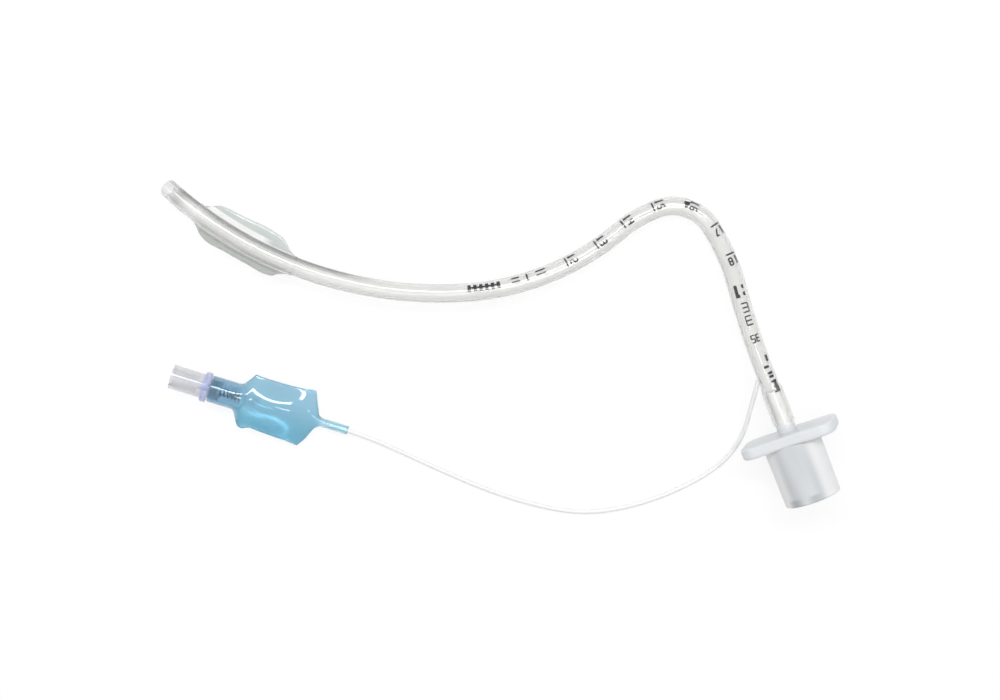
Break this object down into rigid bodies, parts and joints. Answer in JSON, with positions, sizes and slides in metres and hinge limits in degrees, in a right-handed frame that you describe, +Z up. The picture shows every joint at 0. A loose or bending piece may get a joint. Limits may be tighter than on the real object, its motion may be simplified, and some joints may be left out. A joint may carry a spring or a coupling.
{
  "type": "endotracheal tube",
  "caption": "Preformed cuffed nasal breathing tube with 15 mm connector, inflation line, pilot balloon and sprung inflation valve.",
  "frame": {"origin": "on the surface that the tube lies on, below the middle of the tube, cuff and connector", "axes": "+Z up, +X from the bevelled tip towards the connector, +Y towards the nose bend"},
  "size_m": [0.1822, 0.0919, 0.0207],
  "materials": {
    "clear_pvc": "clear, glossy soft PVC",
    "cuff_film": "thin clear film with a green grey cast",
    "frosted_plastic": "frosted translucent polypropylene",
    "line_pvc": "translucent soft PVC",
    "blue_film": "clear blue glossy film",
    "clear_plastic": "clear rigid plastic",
    "white_plastic": "white rigid plastic",
    "black_rubber": "matt black rubber",
    "spring_steel": "bare spring wire"
  },
  "bodies": {
    "root": {"tracheal_tube": "clear_pvc", "cuff": "cuff_film", "connector": "frosted_plastic", "inflation_line": "line_pvc", "pilot_balloon": "blue_film", "valve_housing": "clear_plastic", "valve_base": "clear_plastic", "valve_spring": "spring_steel"},
    "plunger": {"valve_plunger": "white_plastic", "valve_seal": "black_rubber"}
  },
  "joints": [
    {"name": "valve_press", "type": "slide", "parent": "root", "child": "plunger", "axis": [0.9481, -0.3117, -0.0633], "range_m": [0, 0.0013], "stiffness_N_per_m": 600, "springref_m": -0.0008, "deforming": ["valve_spring"]}
  ]
}
